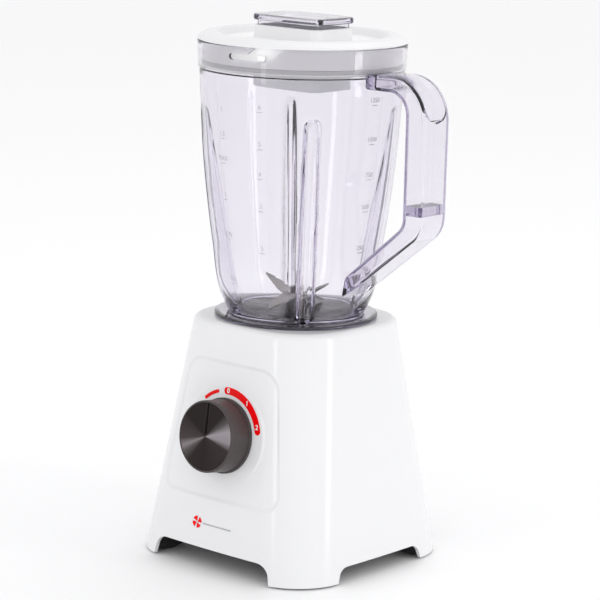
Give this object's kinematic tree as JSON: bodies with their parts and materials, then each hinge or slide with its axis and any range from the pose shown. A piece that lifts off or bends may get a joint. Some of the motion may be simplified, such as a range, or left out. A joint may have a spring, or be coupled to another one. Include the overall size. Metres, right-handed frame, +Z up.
{
  "type": "countertop blender",
  "caption": "Countertop blender with a white sloping motor base, dark speed knob, clear handled jug, steel blades, white bayonet lid and clear measuring cap.",
  "frame": {"origin": "on the vertical drive axis, at the surface that the four feet stand on", "axes": "+Z up along the drive axis; the face with the knob looks towards -Y; the jug's handle points towards +X"},
  "size_m": [0.2065, 0.1798, 0.383],
  "materials": {
    "white_casing": "glossy white moulding",
    "white_lid": "satin white moulding",
    "black_plastic": "fine matt texture",
    "dark_plastic": "satin",
    "coupling_plastic": "glass-filled nylon",
    "foot_rubber": "matt",
    "black_rubber": "matt",
    "seal_rubber": "silicone, satin",
    "zinc_steel": "zinc plated",
    "bearing_steel": "ground",
    "lamination_steel": "stacked sheet",
    "copper_winding": "enamelled wire",
    "cast_aluminium": "as cast",
    "brass_parts": "machined",
    "carbon": "pressed graphite",
    "knob_plastic": "finely brushed grey",
    "knob_metal": "spun dark metal",
    "dial_print": "printed",
    "clear_plastic": "clear, faint violet tint",
    "polished_steel": "polished stainless",
    "blade_steel": "ground stainless"
  },
  "bodies": {
    "base": {"housing": "white_casing", "bottom_cover": "black_plastic", "feet": "foot_rubber", "cover_screws": "zinc_steel", "drive_well": "white_casing", "dial_scale": "dial_print", "rotary_switch": "black_plastic", "cord_gland": "black_rubber", "stator_core": "lamination_steel", "field_coils": "copper_winding", "upper_bracket": "cast_aluminium", "lower_bracket": "cast_aluminium", "upper_bearing": "bearing_steel", "lower_bearing": "bearing_steel", "motor_screws": "zinc_steel", "motor_dampers": "black_rubber", "brush_holders": "brass_parts", "carbon_brushes": "carbon"},
    "drive": {"motor_shaft": "bearing_steel", "armature_core": "lamination_steel", "armature_winding": "copper_winding", "commutator": "brass_parts", "cooling_fan": "dark_plastic", "drive_dog": "coupling_plastic"},
    "knob": {"knob": "knob_plastic", "knob_face": "knob_metal", "knob_spindle": "bearing_steel"},
    "jug": {"jug": "clear_plastic", "handle": "clear_plastic", "handle_cover": "clear_plastic", "jug_collar": "clear_plastic", "blade_carrier": "dark_plastic", "carrier_seal": "seal_rubber", "shaft_bush": "polished_steel"},
    "blades": {"blade_shaft": "polished_steel", "upper_blade": "blade_steel", "lower_blade": "blade_steel", "blade_washer": "polished_steel", "blade_nut": "polished_steel", "driven_coupling": "coupling_plastic"},
    "lid_seal": {"lid_seal": "seal_rubber"},
    "lid": {"lid": "white_lid"},
    "cap": {"measuring_cap": "clear_plastic"}
  },
  "joints": [
    {"name": "drive_spin", "type": "hinge", "parent": "base", "child": "drive", "pos_m": [0, 0, 0.1], "axis": [0, 0, 1], "continuous": true},
    {"name": "knob_turn", "type": "hinge", "parent": "base", "child": "knob", "pos_m": [0, -0.07317, 0.09564], "axis": [0, -0.9911, 0.133], "range_deg": [-68, 27]},
    {"name": "jug_lift", "type": "slide", "parent": "base", "child": "jug", "axis": [0, 0, 1], "range_m": [0, 0.06]},
    {"name": "blade_spin", "type": "hinge", "parent": "jug", "child": "blades", "pos_m": [0, 0, 0.18], "axis": [0, 0, 1], "continuous": true},
    {"name": "lid_lift", "type": "slide", "parent": "jug", "child": "lid_seal", "axis": [0, 0, 1], "range_m": [0, 0.06]},
    {"name": "lid_turn", "type": "hinge", "parent": "lid_seal", "child": "lid", "pos_m": [0, 0, 0.36], "axis": [0, 0, 1], "range_deg": [-17, 0]},
    {"name": "cap_lift", "type": "slide", "parent": "lid", "child": "cap", "axis": [0, 0, 1], "range_m": [0, 0.05]}
  ],
  "couplings": [
    {"joint": "blade_spin", "follows": "drive_spin", "ratio": 1}
  ]
}
